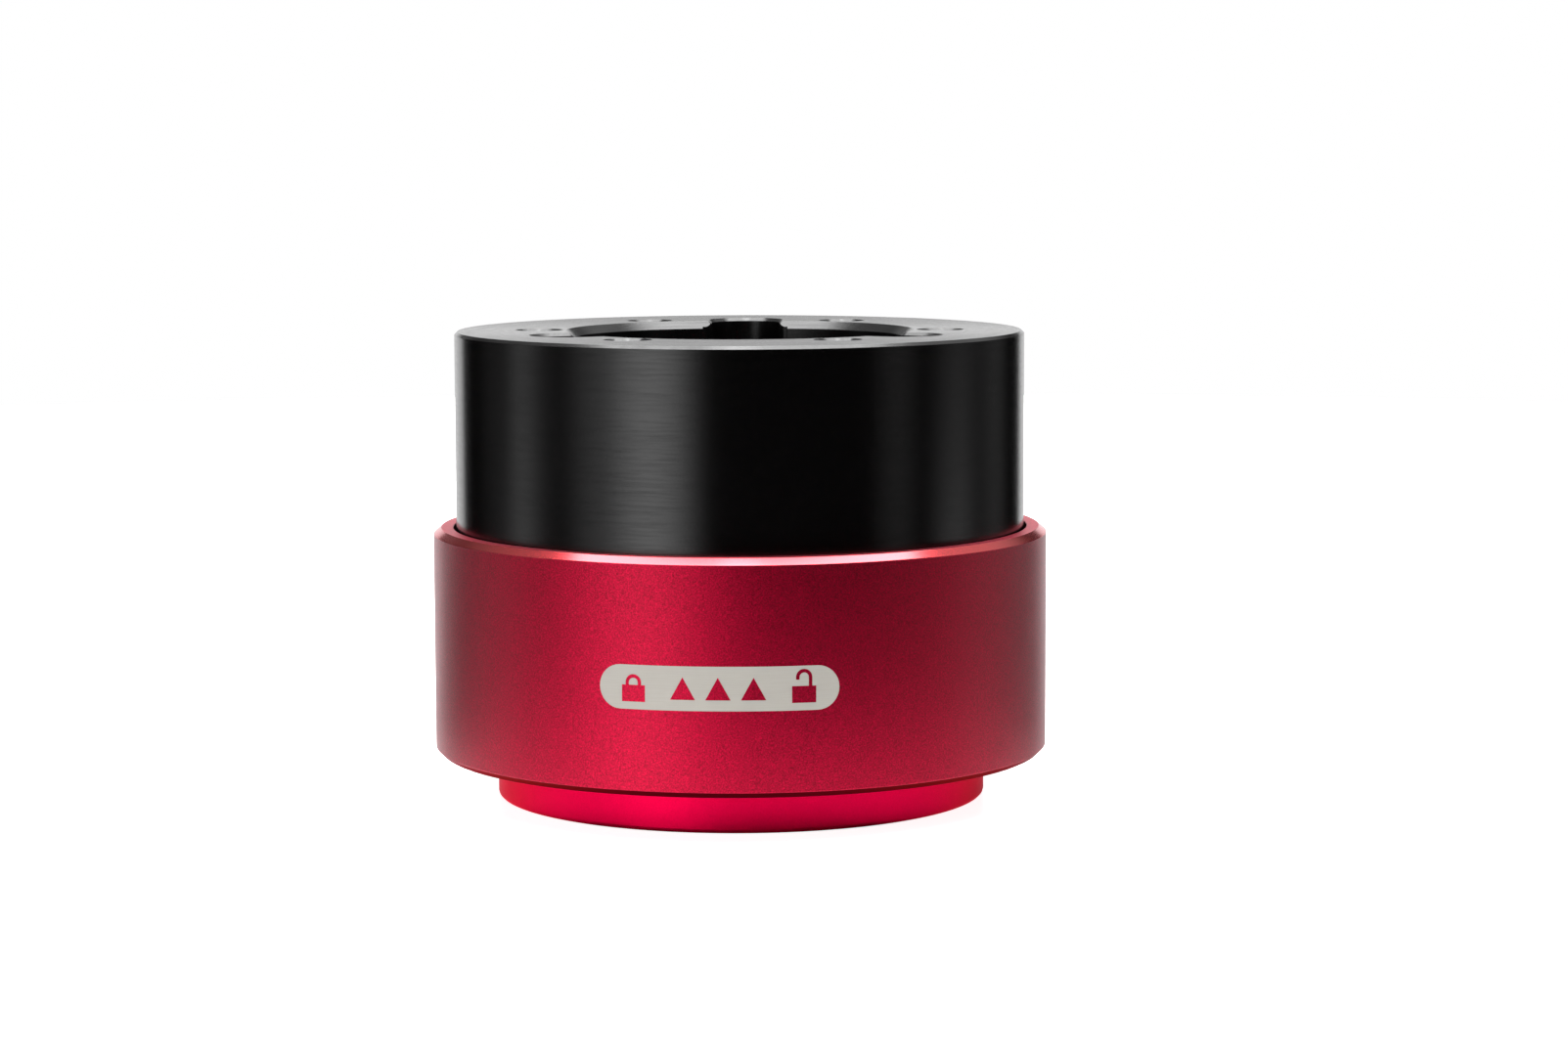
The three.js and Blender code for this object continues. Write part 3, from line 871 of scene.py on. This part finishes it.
def spline_outline(offset):
    """Star outline of the toothed hole; a positive offset opens it out."""
    pitch = 2 * math.pi / SPLINE_TEETH
    corners = [(SPLINE_TIP_R, -0.2), (SPLINE_TIP_R, 0.2), (SPLINE_ROOT_R, 0.3), (SPLINE_ROOT_R, 0.7)]
    points = []
    for tooth in range(SPLINE_TEETH):
        for radius, share in corners:
            turn = (tooth + share) * pitch
            points.append(Vector((math.cos(turn), math.sin(turn))) * (radius + offset))
    return points


def spline_sink_cutter():
    """Countersunk hole for a spline screw, which goes in from below."""
    head_r = SPLINE_SCREW_HEAD_R + PIN_GAP
    shank_r = SPLINE_SCREW_R + 2 * PIN_GAP
    corners = [(0, SPLINE_BOTTOM - 1), (head_r + 1, SPLINE_BOTTOM - 1)]
    corners += [(shank_r, SPLINE_BOTTOM + head_r - shank_r), (shank_r, FLANGE_TOP + 1), (0, FLANGE_TOP + 1)]
    return plug(corners)


def spline_ring():
    """Flanged bush, turned with a small bore that the toothed hole then opens."""
    first_bore_r = SPLINE_TIP_R - 3
    outline = rounded(
        [
            (first_bore_r, SPLINE_BOTTOM, 0),
            (SPLINE_R, SPLINE_BOTTOM, 0.3),
            (SPLINE_R, FLANGE_TOP, 0.15),
            (SPLINE_HUB_R, FLANGE_TOP, 0),
            (SPLINE_HUB_R, SPLINE_TOP, 0.3),
            (first_bore_r, SPLINE_TOP, 0),
        ]
    )
    ring = lathe("spline_ring_shell", outline, STEEL)
    lead_in = 0.45
    levels = [
        (SPLINE_BOTTOM - 1, spline_outline(lead_in + 1)),
        (SPLINE_BOTTOM + lead_in, spline_outline(0)),
        (SPLINE_TOP - lead_in, spline_outline(0)),
        (SPLINE_TOP + 1, spline_outline(lead_in + 1)),
    ]
    sinks = copies(spline_sink_cutter, SPLINE_SCREW_CIRCLE_R, BOLT_ANGLES)
    return carve(ring, [prism("star", levels, STEEL)] + sinks)


# ---------------------------------------------------------------------------------------------------------
# Balls, springs, pins, screws and seal


def lock_ball():
    bm = bmesh.new()
    bmesh.ops.create_icosphere(bm, subdivisions=4, radius=BALL_R)
    bm.transform(Matrix.Translation((0, 0, BALL_Z)))
    return finish_mesh("ball", bm, BALL_STEEL)


def o_ring():
    outline = arc((O_RING_CENTRE_R, O_RING_Z), O_RING_SECTION_R, 0, 360, 24)[:-1]
    return lathe("o_ring_seal", outline, RUBBER, 192)


def return_spring():
    """Coil with a closed turn at each end: the pitch grows from a wire's width and shrinks back to it."""
    bottom, top = COLLAR_FLOOR + GAP + SPRING_WIRE_R, SPRING_TOP - SPRING_WIRE_R
    per_turn, section = 40, 12
    steps = per_turn * SPRING_TURNS
    closed_pitch = 2 * SPRING_WIRE_R + 0.04
    open_pitch = (top - bottom - 2 * closed_pitch) / (SPRING_TURNS - 2)
    heights = [bottom]
    for k in range(steps):
        turn = (k + 0.5) / per_turn
        closed = turn < 1 or turn > SPRING_TURNS - 1
        heights.append(heights[-1] + (closed_pitch if closed else open_pitch) / per_turn)
    line = []
    for k, z in enumerate(heights):
        turn = 2 * math.pi * k / per_turn
        line.append(Vector((SPRING_COIL_R * math.cos(turn), SPRING_COIL_R * math.sin(turn), z)))
    bm = bmesh.new()
    rings = []
    for k, centre in enumerate(line):
        along = (line[min(k + 1, steps)] - line[max(k - 1, 0)]).normalized()
        out = Vector((centre.x, centre.y, 0)).normalized()
        side = along.cross(out).normalized()
        ring = []
        for i in range(section):
            turn = 2 * math.pi * i / section
            ring.append(bm.verts.new(centre + SPRING_WIRE_R * (out * math.cos(turn) + side * math.sin(turn))))
        rings.append(ring)
    for ring, following in zip(rings, rings[1:]):
        for i in range(section):
            j = (i + 1) % section
            bm.faces.new([ring[i], ring[j], following[j], following[i]])
    bm.faces.new(rings[0])
    bm.faces.new(rings[-1])
    return finish_mesh("spring", bm, WIRE)


def pin(radius, bottom, top):
    outline = rounded(
        [
            (0, bottom, 0),
            (radius - PIN_EDGE, bottom, 0.05),
            (radius, bottom + PIN_EDGE, 0.05),
            (radius, top - PIN_EDGE, 0.05),
            (radius - PIN_EDGE, top, 0.05),
            (0, top, 0),
        ]
    )
    return lathe("pin", outline, STEEL, 40)


def guide_pin():
    return pin(GUIDE_R, GUIDE_BOTTOM, GUIDE_TOP)


def torque_pin():
    return pin(TORQUE_R, TORQUE_BOTTOM, TORQUE_TOP)


def knurl(radius, depth, teeth=44):
    """Toothed circle, or a plain one with as many points where depth is 0."""
    points = []
    for k in range(2 * teeth):
        turn = math.pi * k / teeth
        points.append(Vector((math.cos(turn), math.sin(turn))) * (radius - (depth if k % 2 else 0)))
    return points


def body_screw():
    """Socket-head screw with a knurled head and a rolled thread."""
    seat = POCKET_FLOOR + GAP
    head_top = seat + SCREW_HEAD_H
    edge = 0.35
    levels = [
        (seat, knurl(SCREW_HEAD_R - 0.2, 0)),
        (seat + 0.2, knurl(SCREW_HEAD_R, 0.14)),
        (head_top - edge, knurl(SCREW_HEAD_R, 0.14)),
        (head_top - edge + 0.1, knurl(SCREW_HEAD_R - 0.15, 0)),
        (head_top, knurl(SCREW_HEAD_R - edge - 0.1, 0)),
    ]
    head = prism("screw_head", levels, BLACK_STEEL)
    socket_bottom = head_top - SCREW_HEAD_H / 2
    corner_r = SCREW_KEY / math.sqrt(3)
    cone = [(0, head_top - 0.25), (corner_r - 0.1, head_top - 0.25)]
    cone += [(corner_r + 0.35, head_top + 0.2), (0, head_top + 0.2)]
    lead_in = plug(cone, 48)
    carve(head, [hex_bar(SCREW_KEY, socket_bottom, head_top + 1)])
    carve(head, [lead_in])
    tip = 0.4
    outline = [Vector((0, SCREW_TIP)), Vector((SCREW_R - tip, SCREW_TIP)), Vector((SCREW_R, SCREW_TIP + tip))]
    outline += thread(SCREW_R, -0.35, 0.7, SCREW_TIP + tip, seat - 6.5)
    outline += [Vector((SCREW_R, seat - 6)), Vector((SCREW_R, seat + 0.5)), Vector((0, seat + 0.5))]
    return carve(head, [lathe("shank", outline, BLACK_STEEL, 40)], "UNION")


def spline_screw():
    """Countersunk screw, head down."""
    cone_top = SPLINE_BOTTOM + SPLINE_SCREW_HEAD_R - SPLINE_SCREW_R
    outline = [
        Vector((0, SPLINE_BOTTOM)),
        Vector((SPLINE_SCREW_HEAD_R - 0.12, SPLINE_BOTTOM)),
        Vector((SPLINE_SCREW_HEAD_R, SPLINE_BOTTOM + 0.1)),
        Vector((SPLINE_SCREW_R, cone_top)),
    ]
    outline += thread(SPLINE_SCREW_R, -0.18, 0.4, cone_top + 0.2, SPLINE_SCREW_TOP - 0.4)
    outline += [Vector((SPLINE_SCREW_R - 0.2, SPLINE_SCREW_TOP)), Vector((0, SPLINE_SCREW_TOP))]
    screw = lathe("screw", outline, BLACK_STEEL, 40)
    return carve(screw, [hex_bar(SPLINE_SCREW_KEY, SPLINE_BOTTOM - 1, SPLINE_BOTTOM + SPLINE_SCREW_KEY / 2)])


# ---------------------------------------------------------------------------------------------------------
# Assembly


def place(obj, body, slot, *nodes):
    """Puts a piece on its CAD body, in the stead of the CAD nodes it shows."""
    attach(obj, body)
    if nodes:
        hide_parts(*nodes)
    return obj


def place_copies(make, node, radius, angles, slot, body="hub"):
    """One copy of a piece for each numbered CAD node, at its angle; {} in the body is the number."""
    model = make()
    for number, angle in enumerate(angles, start=1):
        obj = model.copy()
        obj.data = model.data.copy()
        obj.name = f"{node}_{number}_shell"
        bpy.context.scene.collection.objects.link(obj)
        at(obj, radius, angle)
        place(obj, body.format(number), slot, f"{node}_{number}")
        if node == "return_spring":
            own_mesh(obj)
    bpy.data.objects.remove(model)


def assemble():
    place(wheel_body(), "hub", "black_anodised", "wheel_body")
    place(lock_collar(), "collar", "blasted_red", "lock_collar")
    place(etched_mark(), "collar", "etched_mark")
    place(inner_sleeve(), "hub", "satin_red", "inner_sleeve")
    place(spline_ring(), "hub", "hard_steel", "spline_ring")
    place(o_ring(), "hub", "rubber", "o_ring")
    place_copies(lock_ball, "lock_ball", BALL_CENTRE_R, BALL_ANGLES, "ball_steel", body="ball_{}")
    place_copies(return_spring, "return_spring", SPRING_CIRCLE_R, PIN_ANGLES, "spring_steel")
    place_copies(guide_pin, "guide_pin", GUIDE_CIRCLE_R, SCREW_ANGLES, "hard_steel")
    place_copies(torque_pin, "torque_pin", TORQUE_CIRCLE_R, PIN_ANGLES, "hard_steel")
    place_copies(body_screw, "body_screw", SCREW_CIRCLE_R, SCREW_ANGLES, "black_steel")
    place_copies(spline_screw, "spline_screw", SPLINE_SCREW_CIRCLE_R, BOLT_ANGLES, "black_steel")


assemble()


# ---------------------------------------------------------------------------------------------------------
# Stage, light and camera


def area_light(name, place_at, aim_from, width, height, radiance):
    """Rectangular light that faces against a direction."""
    data = bpy.data.lights.new(name, "AREA")
    data.shape = "RECTANGLE"
    data.size = width
    data.size_y = height
    data.energy = radiance * math.pi * width * height
    light = bpy.data.objects.new(name, data)
    light.location = place_at
    light.rotation_euler = aim_from.to_track_quat("Z", "Y").to_euler()
    light.visible_camera = False
    bpy.context.scene.collection.objects.link(light)
    return light


def soften(data, axes="XY"):
    """Makes an area light swell from nothing at its edges to full in its middle, along X, Y or both."""
    data.use_nodes = True
    nodes, links = data.node_tree.nodes, data.node_tree.links
    split = nodes.new("ShaderNodeSeparateXYZ")
    links.new(nodes.new("ShaderNodeNewGeometry").outputs["Parametric"], split.inputs[0])
    strength = 1.0
    for axis in axes:
        phase = math_node(nodes, links, "MULTIPLY", split.outputs[axis], math.pi)
        wave = math_node(nodes, links, "SINE", phase)
        strength = math_node(nodes, links, "MULTIPLY", math_node(nodes, links, "POWER", wave, 2.0), strength)
    links.new(strength, nodes["Emission"].inputs["Strength"])


def standing_light(azimuth, half_width, radiance, distance=1.0, height=1.2, middle_z=0.17):
    """Upright softbox. Its azimuth in degrees is 0 in front, and positive to the right."""
    middle, half = math.radians(azimuth), math.radians(half_width)
    away = Vector((math.sin(middle), -math.cos(middle), 0))
    width = 2 * distance * math.tan(half)
    name = f"softbox_{azimuth}".replace("-", "left_")
    return area_light(name, away * distance + Vector((0, 0, middle_z)), away, width, height, radiance)


def studio():
    """Soft key on the left front, dimmer boxes round the sides, a wide panel behind, and a ceiling.

    The low boxes stand below the floor's level. Only reflections see them, where they see no floor.
    """
    ceiling_up = Vector((0, 0.05, 1)).normalized()
    area_light("ceiling", ceiling_up * 0.9, ceiling_up, 0.95, 1.0, 9.5)
    area_light("ceiling_core", ceiling_up * 0.89, ceiling_up, 0.12, 1.0, 6.0)
    spill = area_light("ceiling_spill", Vector((0.35, 0.6, 0.92)), Vector((0, 0, 1)), 4.0, 4.0, 1.0)
    soften(spill.data)
    for azimuth, half_width, radiance in STRIPS:
        soften(standing_light(azimuth, half_width, radiance).data, "X")
    for azimuth, half_width, radiance in LOW_BOXES:
        soften(standing_light(azimuth, half_width, radiance, height=0.32, middle_z=-0.2).data)
    for azimuth, half_width, radiance in HIGH_BOXES:
        soften(standing_light(azimuth, half_width, radiance, height=0.7, middle_z=0.95).data)
    soften(standing_light(186, 35, 0.5, distance=1.4, height=0.6, middle_z=0.55).data)
    standing_light(185, 30.5, 1.1, distance=1.4, height=0.56, middle_z=0.03)


def white_world():
    """White to the camera, and nearly black to everything else."""
    world = bpy.data.worlds.new("studio")
    bpy.context.scene.world = world
    world.use_nodes = True
    nodes, links = world.node_tree.nodes, world.node_tree.links
    nodes.clear()
    path = nodes.new("ShaderNodeLightPath")
    dim = nodes.new("ShaderNodeBackground")
    dim.inputs["Color"].default_value = (0.006, 0.006, 0.006, 1)
    white = nodes.new("ShaderNodeBackground")
    white.inputs["Color"].default_value = (1, 1, 1, 1)
    mix = nodes.new("ShaderNodeMixShader")
    out = nodes.new("ShaderNodeOutputWorld")
    links.new(path.outputs["Is Camera Ray"], mix.inputs[0])
    links.new(dim.outputs[0], mix.inputs[1])
    links.new(white.outputs[0], mix.inputs[2])
    links.new(mix.outputs[0], out.inputs[0])


def ramp(nodes, links, value, start, end):
    """0 up to one value, 1 from another."""
    node = nodes.new("ShaderNodeMapRange")
    node.inputs["From Min"].default_value = start
    node.inputs["From Max"].default_value = end
    links.new(value, node.inputs["Value"])
    return node.outputs["Result"]


def vector_node(nodes, links, operation, first, second=None):
    node = nodes.new("ShaderNodeVectorMath")
    node.operation = operation
    links.new(first, node.inputs[0])
    if second is not None:
        node.inputs[1].default_value = second
    return node.outputs


def painted_pool_glow(nodes, links, distance):
    """Painted light on the floor, seen only in reflections: a glow strongest on one side of the object."""
    front = math.radians(POOL_AZIMUTH)
    brightest = (math.sin(front), -math.cos(front), 0)
    towards = vector_node(nodes, links, "NORMALIZE", object_point(nodes))["Vector"]
    facing = vector_node(nodes, links, "DOT_PRODUCT", towards, brightest)["Value"]
    glow = mapped(nodes, links, facing, FLOOR_PAINTED_GLOW, 2 * FLOOR_PAINTED_GLOW)
    glow.node.clamp = False
    return math_node(nodes, links, "MULTIPLY", glow, ramp(nodes, links, distance, *POOL_START))


def floor_material():
    """Over-lit to white for the camera. Reflections see it dimmer, with a painted pool of light on one side,
    and only near the object.
    """
    material, nodes, links, shader = new_material("pale_floor")
    path = nodes.new("ShaderNodeLightPath")
    seen = path.outputs["Is Camera Ray"]
    mirrored = path.outputs["Is Glossy Ray"]
    dimmed = math_node(nodes, links, "MULTIPLY", mirrored, FLOOR_DIM)
    tone = math_node(nodes, links, "SUBTRACT", FLOOR_TONE, dimmed)
    colour = nodes.new("ShaderNodeCombineColor")
    for channel in ("Red", "Green", "Blue"):
        links.new(tone, colour.inputs[channel])
    links.new(colour.outputs["Color"], shader.inputs["Base Color"])
    shader.inputs["Roughness"].default_value = 0.3
    shader.inputs["Emission Color"].default_value = (1, 1, 1, 1)
    distance = vector_node(nodes, links, "DISTANCE", object_point(nodes), POOL_CENTRE)["Value"]
    seen_glow = math_node(nodes, links, "MULTIPLY", seen, FLOOR_GLOW)
    # painted pool of light: emission that only glossy rays see
    painted_reflected_glow = math_node(nodes, links, "MULTIPLY", mirrored, painted_pool_glow(nodes, links, distance))
    glow = math_node(nodes, links, "ADD", seen_glow, painted_reflected_glow)
    links.new(glow, shader.inputs["Emission Strength"])
    clear = nodes.new("ShaderNodeBsdfTransparent")
    mix = nodes.new("ShaderNodeMixShader")
    gone = ramp(nodes, links, distance, *FLOOR_END)
    links.new(math_node(nodes, links, "MULTIPLY", mirrored, gone), mix.inputs[0])
    links.new(shader.outputs[0], mix.inputs[1])
    links.new(clear.outputs[0], mix.inputs[2])
    links.new(mix.outputs[0], nodes["Material Output"].inputs["Surface"])
    return material


def floor():
    bm = bmesh.new()
    bmesh.ops.create_circle(bm, cap_ends=True, radius=FLOOR_R / MM, segments=96)
    finish_mesh("floor", bm, floor_material())


def camera():
    """The photograph's view: nearly level, through a short telephoto lens."""
    data = bpy.data.cameras.new("camera")
    data.sensor_width = 36
    data.lens = LENS
    data.clip_start = 0.01
    obj = bpy.data.objects.new("camera", data)
    turn = Matrix.Rotation(math.radians(CAMERA_TURN), 4, "Z")
    aim = Matrix.Rotation(math.radians(CAMERA_YAW), 4, "Z")
    aim @= Matrix.Rotation(math.radians(90 + CAMERA_TILT), 4, "X")
    aim @= Matrix.Rotation(math.radians(CAMERA_ROLL), 4, "Z")
    obj.matrix_world = turn @ Matrix.Translation(CAMERA_PLACE) @ aim
    bpy.context.scene.collection.objects.link(obj)
    bpy.context.scene.camera = obj


studio()
white_world()
floor()
camera()
bpy.context.scene.view_settings.view_transform = "Standard"
